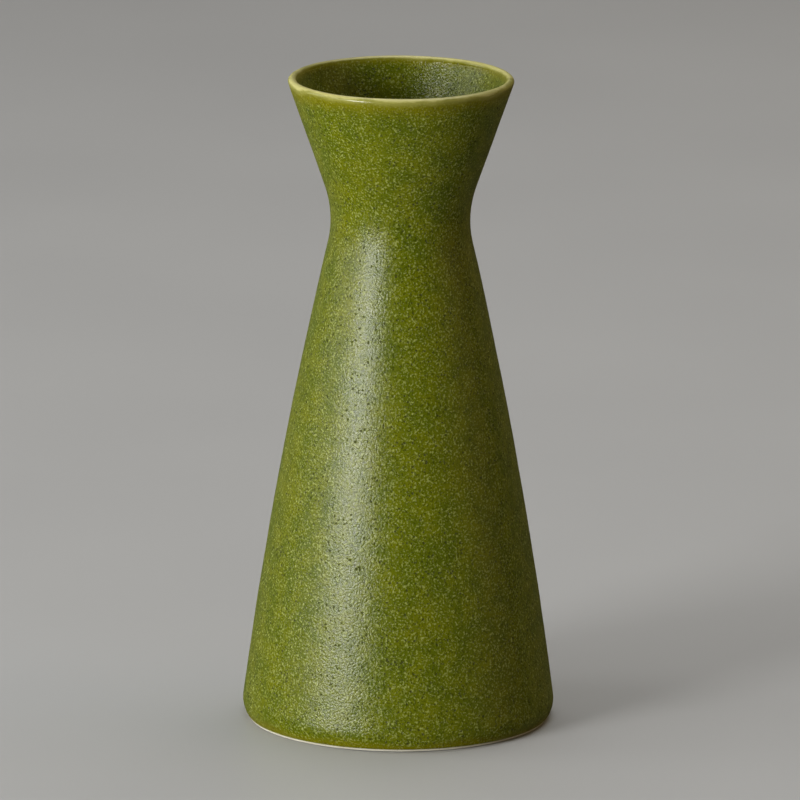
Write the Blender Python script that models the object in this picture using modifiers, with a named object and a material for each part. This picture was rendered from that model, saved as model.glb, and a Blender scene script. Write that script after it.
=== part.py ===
"""A flared-neck sake bottle (tokkuri): one clay vessel with its glaze coats as separate solids.

Run it with: blender --background --python part.py
Metres, +Z up.  The origin is the centre of the foot ring, on the surface that the bottle stands on.

The outside is a chain of tangent curves, from the lip down to the foot: a full-round lip, a straight
flare, a concave waist, a long and barely convex body wall, and a corner that turns in to the foot.
Every other surface is that chain, or the cavity's own chain, set back by a depth.
"""

from math import acos, asin, atan2, cos, pi, radians, sin, sqrt, tan

import bpy
from mathutils import Vector

MM = 0.001

# Driving dimensions of the outside
HEIGHT = 170.0 * MM
LIP_THICKNESS = 2.1 * MM
FLARE_LEAN = radians(19.3)  # the flared mouth's wall, from the vertical
WAIST_RADIUS = 18.15 * MM  # the narrowest ring
WAIST_HEIGHT = 132.4 * MM
WAIST_CURVE = 28.0 * MM  # vertical radius of the concave waist
BODY_LEAN = radians(12.95)  # the body's wall just under the waist, from the vertical
BODY_CURVE = 1267.0 * MM  # vertical radius of the long body wall
CORNER_HEIGHT = 5.6 * MM  # where the wall starts to turn in to the foot
FOOT_LEAN = radians(43.0)  # how far the corner has turned under when it meets the table

# Wall, floor and foot
WALL = 3.0 * MM  # glaze included, from the waist down
FLOOR_HEIGHT = 5.2 * MM  # the cavity's floor above the table
FLOOR_FILLET = 9.0 * MM
FOOT_RING_WIDTH = 3.6 * MM
FOOT_RECESS = 2.2 * MM  # height of the hollow inside the foot ring, in the clay
FOOT_EDGE = 0.5 * MM  # chamfer on the ring's inner edge
RECESS_SLOPE = 1.6 * MM  # how far the ring's inner side leans in on its way up
CLAY_BAND = 0.6 * MM  # wiped clay showing under the outer glaze

# Glaze coats
GLAZE = 0.35 * MM
GAP = 0.3 * MM  # clearance kept between solids whose faces meet

# Facets
TURN_STEPS = 48
LIP_STEPS = 3
WAIST_STEPS = 5
BODY_STEPS = 4
CORNER_STEPS = 3
FILLET_STEPS = 5
AXIS_MERGE = 0.00001
SHARP_ANGLE = radians(35)

LIP_RADIUS = LIP_THICKNESS / 2


def polar(centre, radius, angle):
    """The point at that angle and distance from centre, in the (radius, height) plane."""
    return Vector((centre.x + radius * cos(angle), centre.y + radius * sin(angle)))


def arc(centre, radius, start, end, steps):
    """Points along an arc, both ends included."""
    return [polar(centre, radius, start + (end - start) * i / steps) for i in range(steps + 1)]


# Centres of the tangent arcs, worked out from the driving dimensions
WAIST_CENTRE = Vector((WAIST_RADIUS + WAIST_CURVE, WAIST_HEIGHT))
BODY_TOP = polar(WAIST_CENTRE, WAIST_CURVE, pi + BODY_LEAN)
BODY_CENTRE = polar(BODY_TOP, BODY_CURVE, pi + BODY_LEAN)
CORNER_ANGLE = asin((CORNER_HEIGHT - BODY_CENTRE.y) / BODY_CURVE)
CORNER_CURVE = CORNER_HEIGHT / (sin(CORNER_ANGLE) + sin(FOOT_LEAN))
CORNER_CENTRE = polar(BODY_CENTRE, BODY_CURVE - CORNER_CURVE, CORNER_ANGLE)

# The flare is the line that touches the waist arc and the lip's circle
FLARE_FOOT = polar(WAIST_CENTRE, WAIST_CURVE, pi - FLARE_LEAN)
LIP_HEIGHT = HEIGHT - LIP_RADIUS
FLARE_TOP_HEIGHT = LIP_HEIGHT - LIP_RADIUS * sin(FLARE_LEAN)
FLARE_TOP_RADIUS = FLARE_FOOT.x + (FLARE_TOP_HEIGHT - FLARE_FOOT.y) * tan(FLARE_LEAN)
LIP_CENTRE = Vector((FLARE_TOP_RADIUS - LIP_RADIUS * cos(FLARE_LEAN), LIP_HEIGHT))

# The cavity side of the flare touches the lip's circle and the waist arc set back by the wall
LIP_OFFSET = LIP_CENTRE - WAIST_CENTRE
MOUTH_CURVE = WAIST_CURVE + WALL - LIP_RADIUS
MOUTH_ANGLE = atan2(LIP_OFFSET.y, LIP_OFFSET.x) + acos(MOUTH_CURVE / LIP_OFFSET.length)

# The cavity's fillet touches the floor and the body wall's inner face
FILLET_HEIGHT = FLOOR_HEIGHT + FLOOR_FILLET
FILLET_REACH = BODY_CURVE - WALL - FLOOR_FILLET
FILLET_RADIUS = BODY_CENTRE.x + sqrt(FILLET_REACH**2 - (FILLET_HEIGHT - BODY_CENTRE.y) ** 2)
FILLET_CENTRE = Vector((FILLET_RADIUS, FILLET_HEIGHT))
FILLET_ANGLE = atan2(FILLET_HEIGHT - BODY_CENTRE.y, FILLET_RADIUS - BODY_CENTRE.x)


def corner_angle_at(height, depth=0.0):
    """The angle round the corner arc at which the outside, set back by depth, is at that height."""
    return asin((height - CORNER_CENTRE.y) / (CORNER_CURVE - depth))


def outside(depth, lip_start, corner_end):
    """The outer chain at that depth, from an angle on the lip down to one on the corner."""
    return (
        arc(LIP_CENTRE, LIP_RADIUS - depth, lip_start, -FLARE_LEAN, LIP_STEPS)
        + arc(WAIST_CENTRE, WAIST_CURVE + depth, pi - FLARE_LEAN, pi + BODY_LEAN, WAIST_STEPS)
        + arc(BODY_CENTRE, BODY_CURVE - depth, BODY_LEAN, CORNER_ANGLE, BODY_STEPS)[1:]
        + arc(CORNER_CENTRE, CORNER_CURVE - depth, CORNER_ANGLE, corner_end, CORNER_STEPS)[1:]
    )


def inside(depth, lip_start):
    """The cavity's chain at that depth, from an angle on the lip down to the floor's centre."""
    waist = WAIST_CURVE + WALL - depth
    body = BODY_CURVE - WALL + depth
    floor_centre = Vector((0.0, FLOOR_HEIGHT - depth))
    return (
        arc(LIP_CENTRE, LIP_RADIUS - depth, lip_start, MOUTH_ANGLE, LIP_STEPS)
        + arc(WAIST_CENTRE, waist, MOUTH_ANGLE, pi + BODY_LEAN, WAIST_STEPS)
        + arc(BODY_CENTRE, body, BODY_LEAN, FILLET_ANGLE, BODY_STEPS)[1:]
        + arc(FILLET_CENTRE, FLOOR_FILLET + depth, FILLET_ANGLE, -pi / 2, FILLET_STEPS)[1:]
        + [floor_centre]
    )


def clay_profile():
    """The vessel: up the cavity side, over the lip, down the outside, then the foot ring and its recess."""
    depth = GLAZE + GAP
    band_angle = corner_angle_at(CLAY_BAND)
    band = arc(CORNER_CENTRE, CORNER_CURVE, band_angle, -FOOT_LEAN, 1)
    ring_inner = band[-1].x - FOOT_RING_WIDTH
    underside = [
        Vector((ring_inner, 0.0)),
        Vector((ring_inner - FOOT_EDGE, FOOT_EDGE)),
        Vector((ring_inner - RECESS_SLOPE, FOOT_RECESS)),
        Vector((0.0, FOOT_RECESS)),
    ]
    lip_top = pi / 2
    return (
        inside(depth, lip_top)[::-1]
        + outside(depth, lip_top, corner_angle_at(CLAY_BAND, depth))[1:]
        + band
        + underside
    )


def outer_glaze_profile():
    """The coat on the outside, from the crest of the lip to just above the wiped clay band."""
    end = corner_angle_at(CLAY_BAND) + GAP / CORNER_CURVE
    lip_start = pi / 2 - GAP / 2 / (LIP_RADIUS - GLAZE)
    return outside(0.0, lip_start, end) + outside(GLAZE, lip_start, end)[::-1]


def lining_profile():
    """The coat inside, from the floor's centre up to the crest of the lip: clay side up, free side down."""
    lip_start = pi / 2 + GAP / 2 / (LIP_RADIUS - GLAZE)
    return inside(0.0, lip_start)[::-1] + inside(GLAZE, lip_start)


def base_glaze_profile():
    """The disc of glaze in the foot ring's recess, measured from its own underside."""
    ring_inner = polar(CORNER_CENTRE, CORNER_CURVE, -FOOT_LEAN).x - FOOT_RING_WIDTH
    radius = ring_inner - RECESS_SLOPE - GAP
    return [
        Vector((0.0, GLAZE)),
        Vector((radius - GLAZE / 2, GLAZE)),
        Vector((radius, GLAZE / 2)),
        Vector((radius - GLAZE / 2, 0.0)),
        Vector((0.0, 0.0)),
    ]


def material(name, colour, roughness):
    made = bpy.data.materials.new(name)
    made.use_nodes = True
    shader = made.node_tree.nodes["Principled BSDF"]
    shader.inputs["Base Color"].default_value = (*colour, 1.0)
    shader.inputs["Roughness"].default_value = roughness
    shader.inputs["Metallic"].default_value = 0.0
    made.diffuse_color = (*colour, 1.0)
    return made


def turned(name, profile, closed, finish, collection, parent, height=0.0):
    """A solid turned round Z from (radius, height) points, its origin lifted by height."""
    mesh = bpy.data.meshes.new(name)
    edges = [(i, i + 1) for i in range(len(profile) - 1)]
    if closed:
        edges.append((len(profile) - 1, 0))
    mesh.from_pydata([(p.x, 0.0, p.y) for p in profile], edges, [])
    piece = bpy.data.objects.new(name, mesh)
    collection.objects.link(piece)
    screw = piece.modifiers.new("turn", "SCREW")
    screw.axis = "Z"
    screw.angle = 2 * pi
    screw.steps = TURN_STEPS
    screw.render_steps = TURN_STEPS
    screw.use_merge_vertices = True
    screw.merge_threshold = AXIS_MERGE
    bpy.context.view_layer.objects.active = piece
    bpy.ops.object.modifier_apply(modifier=screw.name)
    mesh.shade_smooth()
    mesh.set_sharp_from_angle(angle=SHARP_ANGLE)
    mesh.materials.append(finish)
    piece.parent = parent
    piece.location.z = height
    return piece


def main():
    for old in list(bpy.data.objects):
        bpy.data.objects.remove(old)
    bottle = bpy.data.collections.new("sake_bottle")
    bpy.context.scene.collection.children.link(bottle)
    axis = bpy.data.objects.new("bottle_axis", None)
    bottle.objects.link(axis)

    bare_clay = material("bare_clay", (0.62, 0.56, 0.44), 0.85)
    green_glaze = material("green_glaze", (0.13, 0.16, 0.016), 0.45)
    lining_glaze = material("lining_glaze", (0.09, 0.12, 0.012), 0.35)
    base_glaze = material("base_glaze", (0.13, 0.16, 0.016), 0.45)

    turned("clay_body", clay_profile(), False, bare_clay, bottle, axis)
    turned("outer_glaze", outer_glaze_profile(), True, green_glaze, bottle, axis)
    turned("lining_glaze", lining_profile(), False, lining_glaze, bottle, axis)
    base_height = FOOT_RECESS - GAP - GLAZE
    turned("base_glaze", base_glaze_profile(), False, base_glaze, bottle, axis, base_height)


main()
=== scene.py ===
"""The looks of a flared-neck sake bottle: a satin olive-green glaze on pale stoneware, in soft studio light.

Metres, +Z up, in the CAD model's frame. The bottle is a solid of revolution about Z, standing on z = 0.
"""

from math import acos, asin, atan2, ceil, cos, pi, radians, sin, sqrt, tan
from types import SimpleNamespace

import bpy
import numpy as np
from mathutils import Matrix, Vector, noise


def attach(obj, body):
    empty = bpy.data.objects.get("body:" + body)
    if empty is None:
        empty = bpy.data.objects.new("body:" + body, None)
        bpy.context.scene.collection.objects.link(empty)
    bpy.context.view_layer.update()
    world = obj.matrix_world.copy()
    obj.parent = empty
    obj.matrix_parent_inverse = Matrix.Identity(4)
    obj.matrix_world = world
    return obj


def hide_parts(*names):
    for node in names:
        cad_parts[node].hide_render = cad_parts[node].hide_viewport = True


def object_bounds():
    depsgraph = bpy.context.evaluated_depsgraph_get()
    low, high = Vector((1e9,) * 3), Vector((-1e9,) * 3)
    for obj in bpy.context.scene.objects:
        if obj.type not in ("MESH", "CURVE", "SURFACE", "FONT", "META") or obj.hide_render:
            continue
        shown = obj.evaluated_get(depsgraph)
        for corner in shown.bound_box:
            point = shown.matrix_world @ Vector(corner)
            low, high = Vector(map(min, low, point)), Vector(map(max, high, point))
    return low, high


MM = 0.001

# The bottle's driving dimensions, as in the CAD model
LIP_RADIUS = 1.05 * MM
FLARE_LEAN = radians(19.3)
WAIST_RADIUS = 18.15 * MM
WAIST_HEIGHT = 132.4 * MM
WAIST_CURVE = 28.0 * MM
BODY_LEAN = radians(12.95)
BODY_CURVE = 1267.0 * MM
CORNER_HEIGHT = 5.6 * MM
FOOT_LEAN = radians(43.0)
WALL = 3.0 * MM
FLOOR_HEIGHT = 5.2 * MM
FLOOR_FILLET = 9.0 * MM
FOOT_RECESS = 2.2 * MM
RING_INNER = 35.1 * MM
RECESS_RADIUS = 33.5 * MM
GLAZE = 0.35 * MM

# Where glaze and clay meet, and the foot, which is wiped clean of glaze
BED = 0.06 * MM  # how far the glaze sinks into the clay
EDGE_ROLL = 0.15 * MM  # rounding of the glaze's lower edge, which stands that far proud of the clay
CLAY_BAND = 0.76 * MM  # bare clay between the table and the glaze's edge
BAND_LEAN = radians(16.0)  # how far the wiped band leans in towards the table
FOOT_GAP = 0.20 * MM  # height of the sponged step under the band
FOOT_STEP = 1.6 * MM  # and its depth
FOOT_ROUND = 0.08 * MM  # rounding of the band's foot and of the step
FOOT_EDGE = 0.5 * MM  # rounding of the ring's inner edge
RECESS_ROUND = 0.8 * MM

# How finely the surfaces are laid out
AROUND = 320  # columns round the axis
SKIN_STEP = 0.72 * MM  # between rows where the surface is seen
DEEP_STEP = 4.0 * MM  # between rows that are hidden
LIP_STEP = 0.16 * MM
FINE_STEP = 0.05 * MM
AXIS_RADIUS = 0.001 * MM  # a row that is nearer the axis than this is one point
LEAST_LENGTH = 1e-12  # keeps a length above nought where it divides

# Unevenness of the glaze's surface
SWELL_SIZE = 13.0 * MM
SWELL_DEPTH = 0.07 * MM
RIPPLE_SIZE = 3.6 * MM
RIPPLE_DEPTH = 0.018 * MM
RIPPLE_SHIFT = Vector((7.0, 3.0, 5.0))  # keeps the ripples out of step with the swells
RIPPLE_FADE = 3.0 * MM  # the height over which the unevenness grows, from the glaze's lower edge up

# Glaze, in linear colour
DEEP_GREEN = (0.080, 0.104, 0.0020)
OLIVE = (0.121, 0.137, 0.0020)
OCHRE_OLIVE = (0.182, 0.158, 0.002)
PALE_FLECK = (0.345, 0.378, 0.105)
DARK_GRIT = (0.034, 0.043, 0.001)
# The pinholes' dark brown: partly the glaze's own colour, partly painted shade inside the pits
PINHOLE_BROWN_AND_SHADE = (0.030, 0.034, 0.001)
LIP_YELLOW = (0.270, 0.260, 0.058)
LIP_CREAM = (0.560, 0.520, 0.200)

# The glaze's grains. A span is the noise at which a colour starts to show, and at which its share is full.
WHOLE = (0.0, 1.0)
NOISE_SPAN = (0.3, 0.7)  # nearly all that a cloudy noise reaches
MOTTLE_SIZE = 5.0 * MM
MOTTLE_SPAN = (0.32, 0.68)
PATCH_SIZE = 22.0 * MM
PATCH_SPAN = (0.45, 0.80)
PATCH_SHARE = 0.15
FRECKLE_SIZE = 0.56 * MM
FRECKLE_SPAN = (0.50, 0.74)
FRECKLE_SHARE = 0.78
GRIT_SIZE = 0.5 * MM
GRIT_SPAN = (0.5, 0.2)
GRIT_SHARE = 0.7

# The glaze's pinholes
PINHOLE_SPACING = 1.05 * MM  # in space, of which the surface meets only some
PINHOLE_RADIUS = 0.38 * MM
PINHOLE_SMALLEST = 0.5  # the smallest one's radius, as a share of the largest's
PINHOLE_FLAT = 0.5  # how much of its radius is at the full depth
PINHOLE_RAGGED = 0.4 * MM
PINHOLE_CLUSTER = 6.0 * MM
PINHOLE_CLUSTER_SPAN = (0.38, 0.68)
PINHOLE_SHARES = (0.1, 0.9)  # how many of the places hold one, between clusters and inside them
# How much of that dark brown fills the pinholes; it is partly painted shade
PINHOLE_STAIN_AND_SHADE = 0.85

# The glaze's gloss and relief
GLAZE_ROUGHNESS = (0.185, 0.305)  # in the relief's hollows and on its tops
LIP_ROUGHNESS = 0.19
PINHOLE_ROUGHNESS = 0.9
EDGE_ROUGHNESS = 0.6  # what the gloss fades to where the surface is seen at a grazing angle
GRAZING_SPAN = (0.35, 0.8)
GLAZE_IOR = 1.38
FRECKLE_RELIEF = 0.165 * MM
MOTTLE_RELIEF = 0.03 * MM
PINHOLE_DEPTH = 0.12 * MM
LIP_SMOOTHED = 0.1  # what is left of the relief on the lip

# The drained lip. Its spans are how far below the crest a change starts, and how far below it is full.
LIP_SMOOTH_SPAN = (2.8 * MM, 1.5 * MM)
LIP_WARM_SPAN = (6.0 * MM, 1.5 * MM)
LIP_WARM_SHARE = 0.55
LIP_YELLOW_SPAN = (2.1 * MM, 0.4 * MM)
LIP_YELLOW_SHARE = 0.85
LIP_CREAM_SPAN = (0.55 * MM, 0.0)
LIP_CREAM_SHARE = 0.7
LIP_RAGGED = 1.6 * MM  # how uneven the drained edge is
LIP_WANDER = 3.6 * MM  # and how far it wanders along the rim
LINING_DRAINED = 0.45  # the lining is thin over a shorter depth than the outside
FOOT_WARM_SPAN = (3.5 * MM, CLAY_BAND)  # above the table
FOOT_WARM_SHARE = 0.6

# Clay
CLAY_CREAM = (0.51, 0.49, 0.39)
CLAY_BUFF = (0.44, 0.41, 0.31)
CLAY_SAND = (0.36, 0.32, 0.23)
CLAY_ROUGHNESS = (0.75, 0.95)
STAIN_SPAN = (0.35, 0.65)
STAIN_SHARE = 0.6
SAND_SIZE = 0.5 * MM
SAND_SPAN = (0.55, 0.75)
SAND_SHARE = 0.6
SAND_RELIEF = 0.02 * MM

# Floor
FLOOR_GREY = (0.503, 0.503, 0.494)
FLOOR_LIGHT = (0.517, 0.517, 0.507)
FLOOR_ROUGHNESS = (0.46, 0.48)
FLOOR_CLOUD = 0.15  # size of its faint unevenness
FLOOR_REACH = 3.3  # radius of the flat disc
FLOOR_SWEEP = 1.2  # radius of the curve that turns up into the wall
FLOOR_WALL = 1.0  # the wall's height above that curve
FLOOR_STEP = 0.25

# Lights. A side light's azimuth runs from the camera's side of the bottle to the right, in degrees.
NEUTRAL = (1.0, 1.0, 1.0)
WARM = (1.0, 0.64, 0.20)
# Each has a name, azimuth, distance, height above the table, its own width and height, watts and a colour.
SIDE_LIGHTS = (
    ("key", -45.5, 1.6, 0.36, 0.56, 0.60, 26.3, NEUTRAL),
    ("key_spill", -66, 1.6, 0.36, 0.55, 0.60, 4.0, NEUTRAL),
    ("left_fill", -95, 1.6, 0.6, 0.7, 0.9, 6.0, NEUTRAL),
    ("right_fill", 78, 1.8, 0.6, 1.6, 1.4, 3.7, WARM),
    ("back_left", -145, 1.6, 0.5, 0.9, 0.9, 0.7, NEUTRAL),
    ("back_right", 140, 1.6, 0.5, 1.1, 0.9, 0.9, WARM),
)
OVERHEAD_PLACE = (0.15, 0.42, 1.25)
OVERHEAD_SIZE = (1.1, 1.1)
OVERHEAD_POWER = 7.4
CEILING_PLACE = (0.0, 0.5, 4.5)
CEILING_SIZE = (4.0, 4.0)
CEILING_POWER = 32.0
WORLD_GREY = (0.01, 0.01, 0.01)

# Camera: a long lens, a little above the table
CAMERA_DISTANCE = 2.89
CAMERA_HEIGHT_ANGLE = radians(13.2)
CAMERA_CLIP = (0.1, 30.0)
LENS = 500.2  # in millimetres, as the sensor's width is
SENSOR = 36.0
CAMERA_ROLL = radians(0.27)  # leans the bottle a hair to the right in the view
AIM_RIGHT = 0.1 * MM
AIM_DOWN = 0.64 * MM


# ----------------------------------------------------------------------------------------------------
# The profile
# ----------------------------------------------------------------------------------------------------


def polar(centre, radius, angle):
    """The point at that angle and distance from centre, in the (radius, height) plane."""
    return Vector((centre.x + radius * cos(angle), centre.y + radius * sin(angle)))


def arc(centre, radius, start, end, step):
    """Rows (point, outward angle) along an arc.

    A clockwise arc is hollow, so its outward angle points to the centre.
    """
    count = max(2, ceil(abs(end - start) * radius / step))
    angles = [start + (end - start) * i / count for i in range(count + 1)]
    turn = 0.0 if end > start else pi
    return [(polar(centre, radius, a), a + turn) for a in angles]


def line(start, end, step):
    """Rows along a straight stretch, whose outward side is on the right of its direction."""
    along = end - start
    count = max(2, ceil(along.length / step))
    outward = atan2(along.y, along.x) - pi / 2
    return [(start + along * i / count, outward) for i in range(count + 1)]


def joined(*stretches):
    """One run of rows from stretches that meet end to end, without the doubled rows."""
    rows = list(stretches[0])
    for stretch in stretches[1:]:
        rows += stretch[1:]
    return rows


def outline(height):
    """The centres that the outside's curves turn round, and where the foot's corner starts and ends."""
    waist = Vector((WAIST_RADIUS + WAIST_CURVE, WAIST_HEIGHT))
    body = polar(polar(waist, WAIST_CURVE, pi + BODY_LEAN), BODY_CURVE, pi + BODY_LEAN)
    corner_angle = asin((CORNER_HEIGHT - body.y) / BODY_CURVE)
    corner_curve = CORNER_HEIGHT / (sin(corner_angle) + sin(FOOT_LEAN))
    corner = polar(body, BODY_CURVE - corner_curve, corner_angle)
    edge_angle = asin((CLAY_BAND + EDGE_ROLL - corner.y) / (corner_curve - EDGE_ROLL))
    edge = polar(corner, corner_curve - EDGE_ROLL, edge_angle)

    flare_foot = polar(waist, WAIST_CURVE, pi - FLARE_LEAN)
    lip_height = height - LIP_RADIUS
    flare_top_height = lip_height - LIP_RADIUS * sin(FLARE_LEAN)
    flare_top_radius = flare_foot.x + (flare_top_height - flare_foot.y) * tan(FLARE_LEAN)
    lip = Vector((flare_top_radius - LIP_RADIUS * cos(FLARE_LEAN), lip_height))
    return SimpleNamespace(
        waist=waist,
        body=body,
        corner=corner,
        corner_curve=corner_curve,
        corner_angle=corner_angle,
        edge=edge,
        edge_angle=edge_angle,
        flare_foot=flare_foot,
        lip=lip,
    )


def outside_rows(shape):
    """The glazed skin's rows outside, from the wiped foot up to the lip's crest."""
    return joined(
        arc(shape.edge, EDGE_ROLL, shape.edge_angle - pi / 2, shape.edge_angle, FINE_STEP),
        arc(shape.corner, shape.corner_curve, shape.edge_angle, shape.corner_angle, SKIN_STEP / 2),
        arc(shape.body, BODY_CURVE, shape.corner_angle, BODY_LEAN, SKIN_STEP),
        arc(shape.waist, WAIST_CURVE, pi + BODY_LEAN, pi - FLARE_LEAN, SKIN_STEP),
        line(shape.flare_foot, polar(shape.lip, LIP_RADIUS, -FLARE_LEAN), SKIN_STEP),
        arc(shape.lip, LIP_RADIUS, -FLARE_LEAN, pi / 2, LIP_STEP),
    )


def inside_rows(shape):
    """The glazed skin's rows inside, from the lip's crest down the wall and over the floor to the axis."""
    inner_waist = WAIST_CURVE + WALL
    inner_body = BODY_CURVE - WALL
    offset = shape.lip - shape.waist
    mouth_angle = atan2(offset.y, offset.x) + acos((inner_waist - LIP_RADIUS) / offset.length)
    fillet_height = FLOOR_HEIGHT + FLOOR_FILLET
    rise = fillet_height - shape.body.y
    reach = sqrt((inner_body - FLOOR_FILLET) ** 2 - rise**2)
    fillet = Vector((shape.body.x + reach, fillet_height))
    fillet_angle = atan2(rise, reach)
    wall_top = polar(shape.waist, inner_waist, mouth_angle)
    return joined(
        arc(shape.lip, LIP_RADIUS, pi / 2, mouth_angle, LIP_STEP),
        line(polar(shape.lip, LIP_RADIUS, mouth_angle), wall_top, SKIN_STEP),
        arc(shape.waist, inner_waist, mouth_angle, pi + BODY_LEAN, SKIN_STEP),
        arc(shape.body, inner_body, BODY_LEAN, fillet_angle, DEEP_STEP),
        arc(fillet, FLOOR_FILLET, fillet_angle, -pi / 2, SKIN_STEP),
        line(Vector((fillet.x, FLOOR_HEIGHT)), Vector((0.0, FLOOR_HEIGHT)), DEEP_STEP),
    )


def rounded(corners, step):
    """Rows along straight stretches from corner to corner.

    Each corner is (radius, height, rounding), and the two ends are (radius, height).
    """
    rows = []
    start = Vector(corners[0])
    for before, here, after in zip(corners, corners[1:], corners[2:]):
        point = Vector(here[:2])
        rounding = here[2]
        into = (point - Vector(before[:2])).normalized()
        onward = (Vector(after[:2]) - point).normalized()
        turn = atan2(into.x * onward.y - into.y * onward.x, into.dot(onward))
        side = 1 if turn > 0 else -1
        heading = atan2(into.y, into.x)
        meets = point - into * rounding * tan(abs(turn) / 2)
        centre = meets + side * rounding * Vector((-into.y, into.x))
        first = heading - side * pi / 2
        rows += line(start, meets, step)[:-1] + arc(centre, rounding, first, first + turn, step)[:-1]
        start = polar(centre, rounding, first + turn)
    return rows + line(start, Vector(corners[-1]), step)


def sunk(rows, depth):
    """The same rows that far below the surface, in reverse order and facing the other way."""
    return [(polar(point, depth, outward + pi), outward + pi) for point, outward in reversed(rows)]


def thinned(rows, step):
    """The rows with only one kept for each step of length, and both ends."""
    kept = [rows[0]]
    for row in rows[1:-1]:
        if (row[0] - kept[-1][0]).length >= step:
            kept.append(row)
    return kept + [rows[-1]]


def clay_rows(shape, outside, inside):
    """The clay's rows: recess, foot ring, sponged step, wiped band, and the hidden sides under the glaze."""
    slope = Vector((sin(BAND_LEAN), cos(BAND_LEAN)))
    band_top = shape.edge + EDGE_ROLL * slope
    band_foot = band_top - slope * (band_top.y - FOOT_GAP) / slope.y
    step_back = band_foot.x - FOOT_STEP
    bare = [
        (0.0, FOOT_RECESS),
        (RECESS_RADIUS, FOOT_RECESS, RECESS_ROUND),
        (RING_INNER, 0.0, FOOT_EDGE),
        (step_back - FOOT_GAP, 0.0, FOOT_ROUND),
        (step_back, FOOT_GAP, FOOT_ROUND),
        (band_foot.x, FOOT_GAP, FOOT_ROUND),
        (band_top.x, band_top.y),
    ]
    bed = GLAZE - BED
    hidden_wall = [(polar(p, bed, out + pi), out) for p, out in outside if p.y > CLAY_BAND + GLAZE]
    hidden_cavity = [(polar(p, bed, out + pi), out) for p, out in inside]
    return joined(
        rounded(bare, LIP_STEP),
        thinned(hidden_wall, DEEP_STEP),
        thinned(hidden_cavity, DEEP_STEP),
    )


def base_coat_rows():
    """The disc of glaze in the recess: its face, its rolled edge, and its hidden side back to the axis."""
    face = FOOT_RECESS - GLAZE + BED
    edge = RECESS_RADIUS - RECESS_ROUND
    roll = Vector((edge, face + GLAZE / 2))
    return joined(
        line(Vector((0.0, face)), Vector((edge, face)), SKIN_STEP),
        arc(roll, GLAZE / 2, -pi / 2, pi / 2, FINE_STEP),
        line(Vector((edge, face + GLAZE)), Vector((0.0, face + GLAZE)), DEEP_STEP),
    )


# ----------------------------------------------------------------------------------------------------
# Turned meshes
# ----------------------------------------------------------------------------------------------------


def ripple(place):
    """How far the glaze stands proud of the true profile: a poured coat's slow swells and a finer ripple."""
    swell = noise.noise(place / SWELL_SIZE)
    small = noise.noise(place / RIPPLE_SIZE + RIPPLE_SHIFT)
    rising = min(1.0, max(0.0, (place.z - CLAY_BAND) / RIPPLE_FADE))
    return rising * (SWELL_DEPTH * swell + RIPPLE_DEPTH * small)


def turned_points(rows, uneven):
    """The surface's points, as an array of rows by columns."""
    turns = [2 * pi * j / AROUND for j in range(AROUND)]
    points = np.zeros((len(rows), AROUND, 3))
    for i, (point, outward) in enumerate(rows):
        for j, turn in enumerate(turns):
            side = Vector((cos(turn), sin(turn), 0.0))
            place = side * point.x + Vector((0.0, 0.0, point.y))
            if uneven:
                facing = side * cos(outward) + Vector((0.0, 0.0, sin(outward)))
                place += facing * ripple(place)
            points[i, j] = place
    return points


def plain_normals(rows):
    """Outward directions straight from the profile."""
    turns = np.arange(AROUND) * 2 * pi / AROUND
    outward = np.array([angle for _, angle in rows])
    flat = np.cos(outward)[:, None]
    rise = np.broadcast_to(np.sin(outward)[:, None], (len(rows), AROUND))
    return np.stack([flat * np.cos(turns), flat * np.sin(turns), rise], axis=-1)


def grid_normals(points, rows):
    """Outward directions of the uneven surface, from the neighbouring points.

    On the axis, where the neighbours coincide, they come straight from the profile.
    """
    steps = np.diff(points, axis=0)
    lengths = np.linalg.norm(steps, axis=-1, keepdims=True)
    slopes = steps / lengths
    middle = (slopes[:-1] * lengths[1:] + slopes[1:] * lengths[:-1]) / (lengths[:-1] + lengths[1:])
    along = np.concatenate([slopes[:1], middle, slopes[-1:]])
    round_it = np.roll(points, -1, axis=1) - np.roll(points, 1, axis=1)
    normals = np.cross(round_it, along)
    sizes = np.linalg.norm(normals, axis=-1, keepdims=True)
    scaled = normals / np.maximum(sizes, LEAST_LENGTH)
    return np.where(sizes > AXIS_RADIUS / 10, scaled, plain_normals(rows))


def turned_mesh(name, points, normals, closed):
    """A mesh from rows of points.

    A row on the axis becomes one point, and closed joins the last row to the first.
    """
    on_axis = np.linalg.norm(points[:, :, :2], axis=-1).max(axis=1) < AXIS_RADIUS
    rows, verts, facing = [], [], []
    for i, single in enumerate(on_axis):
        start = len(verts)
        if single:
            verts.append(points[i].mean(axis=0))
            facing.append(normals[i, 0])
            rows.append([start] * AROUND)
        else:
            verts.extend(points[i])
            facing.extend(normals[i])
            rows.append(list(range(start, start + AROUND)))
    faces = []
    pairs = list(zip(rows, rows[1:])) + ([(rows[-1], rows[0])] if closed else [])
    for low, high in pairs:
        if low[0] == low[1] and high[0] == high[1]:
            continue
        for j in range(AROUND):
            k = (j + 1) % AROUND
            corners = [low[j], low[k], high[k], high[j]]
            faces.append(list(dict.fromkeys(corners)))
    mesh = bpy.data.meshes.new(name)
    mesh.from_pydata([tuple(v) for v in verts], [], faces)
    mesh.validate()
    mesh.shade_smooth()
    mesh.normals_split_custom_set_from_vertices([tuple(n) for n in facing])
    return mesh


def plain_mesh(name, rows):
    """A mesh that follows its rows exactly and starts or ends on the axis."""
    return turned_mesh(name, turned_points(rows, uneven=False), plain_normals(rows), closed=False)


def glaze_coat(name, skin, points, normals):
    """A closed coat: the uneven skin outside, and a plain hidden side one glaze's thickness below it."""
    hidden = thinned(sunk(skin, GLAZE), DEEP_STEP)
    all_points = np.concatenate([points, turned_points(hidden, uneven=False)])
    all_normals = np.concatenate([normals, plain_normals(hidden)])
    return turned_mesh(name, all_points, all_normals, closed=True)


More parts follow.
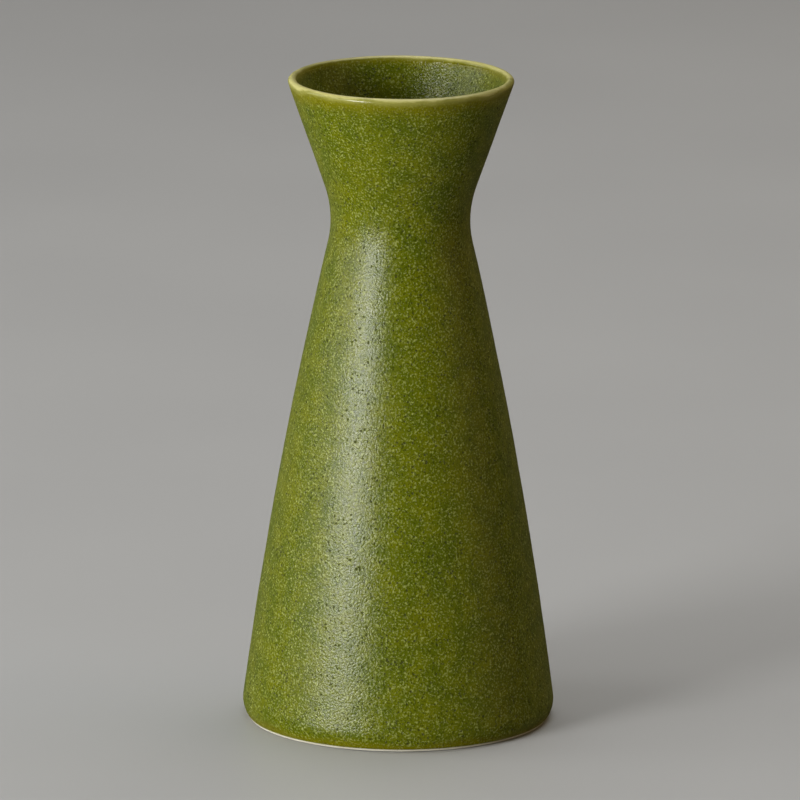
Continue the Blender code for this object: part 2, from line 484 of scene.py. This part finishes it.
def piece(name, mesh, node, material):
    """A piece of the bottle, in place of that CAD node."""
    made = bpy.data.objects.new(name, mesh)
    bpy.context.scene.collection.objects.link(made)
    mesh.materials.append(material)
    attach(made, "root")
    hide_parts(node)
    return made


def build_bottle(height, glaze, lining, clay):
    """The four pieces.

    The skin is worked out once and shared out at the lip's crest, so that no seam shows there.
    """
    shape = outline(height)
    outside = outside_rows(shape)
    inside = inside_rows(shape)
    skin = joined(outside, inside)
    crest = len(outside) - 1
    points = turned_points(skin, uneven=True)
    normals = grid_normals(points, skin)

    outer = glaze_coat("glaze_outside", outside, points[: crest + 1], normals[: crest + 1])
    piece("glaze_outside", outer, "outer_glaze", glaze)
    inner = glaze_coat("glaze_lining", inside, points[crest:], normals[crest:])
    piece("glaze_lining", inner, "lining_glaze", lining)
    body = plain_mesh("clay", clay_rows(shape, outside, inside))
    piece("clay", body, "clay_body", clay)
    disc = plain_mesh("glaze_base", base_coat_rows())
    piece("glaze_base", disc, "base_glaze", glaze)


# ----------------------------------------------------------------------------------------------------
# Materials
# ----------------------------------------------------------------------------------------------------


def new_material(name):
    """A material with its shader, and the object's own coordinates in metres."""
    made = bpy.data.materials.new(name)
    made.use_nodes = True
    tree = made.node_tree
    shader = tree.nodes["Principled BSDF"]
    place = tree.nodes.new("ShaderNodeTexCoord").outputs["Object"]
    return made, tree, shader, place


def put(tree, kind, inputs, **settings):
    """A node with those settings and inputs, each a value or another node's output. Returns its outputs."""
    node = tree.nodes.new(kind)
    for key, value in settings.items():
        setattr(node, key, value)
    for key, value in inputs.items():
        if isinstance(value, bpy.types.NodeSocket):
            tree.links.new(value, node.inputs[key])
        else:
            node.inputs[key].default_value = value
    return node.outputs


def calculate(tree, operation, *values):
    """What that operation makes of the values."""
    return put(tree, "ShaderNodeMath", dict(enumerate(values)), operation=operation)[0]


def spread(tree, value, span, onto=WHOLE):
    """The value, with its span stretched smoothly onto another one, and clamped."""
    inputs = {
        "Value": value,
        "From Min": span[0],
        "From Max": span[1],
        "To Min": onto[0],
        "To Max": onto[1],
    }
    return put(tree, "ShaderNodeMapRange", inputs, interpolation_type="SMOOTHSTEP")["Result"]


def tint(tree, share, base, over):
    """The base colour with that share of the other over it."""
    colours = [c if isinstance(c, bpy.types.NodeSocket) else (*c, 1.0) for c in (base, over)]
    return put(tree, "ShaderNodeMix", {0: share, 6: colours[0], 7: colours[1]}, data_type="RGBA")[2]


def grains(tree, place, size, detail=2.0, roughness=0.5):
    """Cloudy noise, about 0 to 1, whose lumps are about that size."""
    inputs = {"Vector": place, "Scale": 1.0 / size, "Detail": detail, "Roughness": roughness}
    return put(tree, "ShaderNodeTexNoise", inputs)["Fac"]


def dress(tree, shader, colour, roughness, relief=None):
    """Gives the shader its colour and its roughness, and a relief in metres."""
    tree.links.new(colour, shader.inputs["Base Color"])
    tree.links.new(roughness, shader.inputs["Roughness"])
    if relief is not None:
        bump = put(tree, "ShaderNodeBump", {"Height": relief, "Distance": 1.0, "Strength": 1.0})
        tree.links.new(bump["Normal"], shader.inputs["Normal"])


def pinholes(tree, place):
    """1 in the middle of scattered pinholes, which come in loose clusters, and 0 between them."""
    stray = {"Vector": place, "Scale": 1.0 / PINHOLE_RADIUS, "Detail": 0.0}
    stray = {0: put(tree, "ShaderNodeTexNoise", stray)["Color"], 1: (0.5, 0.5, 0.5)}
    stray = put(tree, "ShaderNodeVectorMath", stray, operation="SUBTRACT")["Vector"]
    bent = {0: stray, 1: (PINHOLE_RAGGED,) * 3, 2: place}
    ragged = put(tree, "ShaderNodeVectorMath", bent, operation="MULTIPLY_ADD")["Vector"]
    cells = put(tree, "ShaderNodeTexVoronoi", {"Vector": ragged, "Scale": 1.0 / PINHOLE_SPACING})
    chance = put(tree, "ShaderNodeSeparateColor", {0: cells["Color"]})
    radius = spread(tree, chance[1], WHOLE, (PINHOLE_SMALLEST * PINHOLE_RADIUS, PINHOLE_RADIUS))
    reach = calculate(tree, "MULTIPLY", cells["Distance"], PINHOLE_SPACING)
    dot = spread(tree, calculate(tree, "DIVIDE", reach, radius), (PINHOLE_FLAT, 1.0), (1.0, 0.0))
    cluster = grains(tree, place, PINHOLE_CLUSTER, detail=1.0)
    share = spread(tree, cluster, PINHOLE_CLUSTER_SPAN, PINHOLE_SHARES)
    return calculate(tree, "MULTIPLY", dot, calculate(tree, "LESS_THAN", chance[0], share))


def pooled_colour(tree, place, mottle, patches, freckles, holes):
    """The colour of the full coat: two greens, ochre patches, pale flecks, dark grit, and pinholes darkened
    brown, partly as painted shade in the pits.
    """
    grit = grains(tree, place, GRIT_SIZE, detail=0.0)
    colour = tint(tree, spread(tree, mottle, MOTTLE_SPAN), DEEP_GREEN, OLIVE)
    colour = tint(tree, spread(tree, patches, PATCH_SPAN, (0.0, PATCH_SHARE)), colour, OCHRE_OLIVE)
    colour = tint(tree, spread(tree, freckles, FRECKLE_SPAN, (0.0, FRECKLE_SHARE)), colour, PALE_FLECK)
    colour = tint(tree, spread(tree, grit, GRIT_SPAN, (0.0, GRIT_SHARE)), colour, DARK_GRIT)
    # The pinholes are darkened: partly their own brown, partly painted shade in the pits
    return tint(tree, calculate(tree, "MULTIPLY", holes, PINHOLE_STAIN_AND_SHADE), colour, PINHOLE_BROWN_AND_SHADE)


def wavering(tree, z, mottle, patches, drained):
    """The height on the bottle, shifted up and down a little, so that the bands on it are uneven."""
    ragged = calculate(tree, "SUBTRACT", mottle, 0.5)
    wander = calculate(tree, "SUBTRACT", patches, 0.5)
    shift = calculate(
        tree,
        "ADD",
        calculate(tree, "MULTIPLY", ragged, LIP_RAGGED * drained),
        calculate(tree, "MULTIPLY", wander, LIP_WANDER * drained),
    )
    return calculate(tree, "ADD", z, shift)


def near_crest(tree, level, height, span, drained=1.0, share=1.0):
    """0 well below the lip's crest, rising to that share over the span."""
    heights = [height - below * drained for below in span]
    return spread(tree, level, heights, (0.0, share))


def drained_colour(tree, colour, level, height, drained):
    """The thin coat's colour: warm, then yellow, then cream up to the crest, and warm again at the foot."""
    warm = near_crest(tree, level, height, LIP_WARM_SPAN, drained, LIP_WARM_SHARE)
    colour = tint(tree, warm, colour, OCHRE_OLIVE)
    thin = near_crest(tree, level, height, LIP_YELLOW_SPAN, drained, LIP_YELLOW_SHARE)
    colour = tint(tree, thin, colour, LIP_YELLOW)
    crest = near_crest(tree, level, height, LIP_CREAM_SPAN, share=LIP_CREAM_SHARE)
    colour = tint(tree, crest, colour, LIP_CREAM)
    foot = spread(tree, level, FOOT_WARM_SPAN, (0.0, FOOT_WARM_SHARE))
    return tint(tree, foot, colour, OCHRE_OLIVE)


def glaze_gloss(tree, freckles, holes, smooth):
    """The coat's roughness: satin, glossier on the lip, and dull in the pinholes and at a grazing angle."""
    satin = spread(tree, freckles, NOISE_SPAN, GLAZE_ROUGHNESS)
    satin = spread(tree, holes, WHOLE, (satin, PINHOLE_ROUGHNESS))
    satin = spread(tree, smooth, WHOLE, (satin, LIP_ROUGHNESS))
    grazing = put(tree, "ShaderNodeLayerWeight", {"Blend": 0.5})["Facing"]
    return spread(tree, grazing, GRAZING_SPAN, (satin, EDGE_ROUGHNESS))


def glaze_relief(tree, mottle, freckles, holes, smooth):
    """The coat's relief in metres: fine pebbling and pinholes, nearly gone on the lip."""
    relief = calculate(tree, "MULTIPLY", freckles, FRECKLE_RELIEF)
    relief = calculate(tree, "SUBTRACT", relief, calculate(tree, "MULTIPLY", holes, PINHOLE_DEPTH))
    relief = calculate(tree, "ADD", relief, calculate(tree, "MULTIPLY", mottle, MOTTLE_RELIEF))
    return calculate(tree, "MULTIPLY", relief, spread(tree, smooth, WHOLE, (1.0, LIP_SMOOTHED)))


def glaze_material(name, height, drained):
    """Satin olive-green glaze: mottled, freckled, pinholed, and thin and pale where it drains off the lip.

    The last argument scales how far below the crest the thin glaze reaches.
    """
    made, tree, shader, place = new_material(name)
    mottle = grains(tree, place, MOTTLE_SIZE, detail=3.0, roughness=0.55)
    patches = grains(tree, place, PATCH_SIZE, detail=1.0)
    freckles = grains(tree, place, FRECKLE_SIZE, detail=1.9, roughness=0.6)
    holes = pinholes(tree, place)
    z = put(tree, "ShaderNodeSeparateXYZ", {0: place})["Z"]
    level = wavering(tree, z, mottle, patches, drained)
    smooth = near_crest(tree, z, height, LIP_SMOOTH_SPAN, drained)

    colour = pooled_colour(tree, place, mottle, patches, freckles, holes)
    colour = drained_colour(tree, colour, level, height, drained)
    roughness = glaze_gloss(tree, freckles, holes, smooth)
    dress(tree, shader, colour, roughness, glaze_relief(tree, mottle, freckles, holes, smooth))
    shader.inputs["IOR"].default_value = GLAZE_IOR
    return made


def clay_material():
    """Fine pale stoneware, dry, with a little sand in it."""
    made, tree, shader, place = new_material("pale_stoneware")
    sand = grains(tree, place, SAND_SIZE)
    stain = grains(tree, place, MOTTLE_SIZE)
    colour = tint(tree, spread(tree, stain, STAIN_SPAN, (0.0, STAIN_SHARE)), CLAY_CREAM, CLAY_BUFF)
    colour = tint(tree, spread(tree, sand, SAND_SPAN, (0.0, SAND_SHARE)), colour, CLAY_SAND)
    roughness = spread(tree, sand, NOISE_SPAN, CLAY_ROUGHNESS)
    dress(tree, shader, colour, roughness, calculate(tree, "MULTIPLY", sand, SAND_RELIEF))
    return made


def floor_material():
    """Pale grey laminate, barely glossy and very slightly uneven."""
    made, tree, shader, place = new_material("pale_floor")
    cloud = grains(tree, place, FLOOR_CLOUD)
    colour = tint(tree, spread(tree, cloud, NOISE_SPAN), FLOOR_GREY, FLOOR_LIGHT)
    dress(tree, shader, colour, spread(tree, cloud, NOISE_SPAN, FLOOR_ROUGHNESS))
    return made


# ----------------------------------------------------------------------------------------------------
# Floor, light and camera
# ----------------------------------------------------------------------------------------------------


def build_floor():
    """A flat disc that turns up into a round wall a few metres away, from the wall's top to the middle."""
    wall = FLOOR_REACH + FLOOR_SWEEP
    rows = joined(
        line(Vector((wall, FLOOR_SWEEP + FLOOR_WALL)), Vector((wall, FLOOR_SWEEP)), FLOOR_STEP),
        arc(Vector((FLOOR_REACH, FLOOR_SWEEP)), FLOOR_SWEEP, 0.0, -pi / 2, FLOOR_STEP / 2),
        line(Vector((FLOOR_REACH, 0.0)), Vector((0.0, 0.0)), FLOOR_STEP),
    )
    mesh = plain_mesh("floor", rows)
    mesh.materials.append(floor_material())
    floor = bpy.data.objects.new("floor", mesh)
    bpy.context.scene.collection.objects.link(floor)
    floor.visible_glossy = False  # the satin glaze picks up no grey haze from the floor


def softbox(name, place, aim, width, height, power, colour):
    """A soft rectangular light at that place, facing aim, unseen by the camera."""
    data = bpy.data.lights.new(name, "AREA")
    data.shape = "RECTANGLE"
    data.size, data.size_y = width, height
    data.energy = power
    data.color = colour
    light = bpy.data.objects.new(name, data)
    bpy.context.scene.collection.objects.link(light)
    light.location = place
    light.rotation_euler = (Vector(aim) - Vector(place)).to_track_quat("-Z", "Y").to_euler()
    light.visible_camera = False


def build_light(height):
    """A key light front left with its spill, a fill on each side, faint lights behind, and two above."""
    for name, azimuth, distance, rise, width, tall, power, colour in SIDE_LIGHTS:
        turn = radians(azimuth)
        place = (distance * sin(turn), -distance * cos(turn), rise)
        softbox(name, place, (0.0, 0.0, height / 2), width, tall, power, colour)
    for name, place, size, power in (
        ("overhead", OVERHEAD_PLACE, OVERHEAD_SIZE, OVERHEAD_POWER),
        ("ceiling", CEILING_PLACE, CEILING_SIZE, CEILING_POWER),
    ):
        softbox(name, place, (place[0], place[1], 0.0), *size, power, NEUTRAL)
    world = bpy.data.worlds.new("studio")
    world.use_nodes = True
    background = world.node_tree.nodes["Background"]
    background.inputs["Color"].default_value = (*WORLD_GREY, 1.0)
    background.inputs["Strength"].default_value = 1.0
    bpy.context.scene.world = world


def build_camera(height):
    """A long lens a little above the table, aimed a touch off the bottle's middle."""
    data = bpy.data.cameras.new("camera")
    data.sensor_width = SENSOR
    data.lens = LENS
    data.clip_start, data.clip_end = CAMERA_CLIP
    camera = bpy.data.objects.new("camera", data)
    bpy.context.scene.collection.objects.link(camera)
    back = Vector((0.0, -cos(CAMERA_HEIGHT_ANGLE), sin(CAMERA_HEIGHT_ANGLE)))
    up = Vector((0.0, sin(CAMERA_HEIGHT_ANGLE), cos(CAMERA_HEIGHT_ANGLE)))
    right = Vector((1.0, 0.0, 0.0))
    aim = Vector((0.0, 0.0, height / 2)) + right * AIM_RIGHT - up * AIM_DOWN
    facing = Matrix((right, up, back)).transposed().to_4x4()
    roll = Matrix.Rotation(CAMERA_ROLL, 4, "Z")
    camera.matrix_world = Matrix.Translation(aim + back * CAMERA_DISTANCE) @ facing @ roll
    bpy.context.scene.camera = camera
    bpy.context.scene.view_settings.view_transform = "Standard"


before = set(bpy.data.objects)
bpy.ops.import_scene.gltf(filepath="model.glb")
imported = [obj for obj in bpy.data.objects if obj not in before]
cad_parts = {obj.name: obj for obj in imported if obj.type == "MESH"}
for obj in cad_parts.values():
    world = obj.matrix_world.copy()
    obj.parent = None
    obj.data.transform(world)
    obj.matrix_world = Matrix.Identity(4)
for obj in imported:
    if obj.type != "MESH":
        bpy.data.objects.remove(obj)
cad_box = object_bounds()
height = cad_box[1].z

glaze = glaze_material("olive_glaze", height, drained=1.0)
lining = glaze_material("olive_glaze_lining", height, drained=LINING_DRAINED)
build_bottle(height, glaze, lining, clay_material())
build_floor()
build_light(height)
build_camera(height)
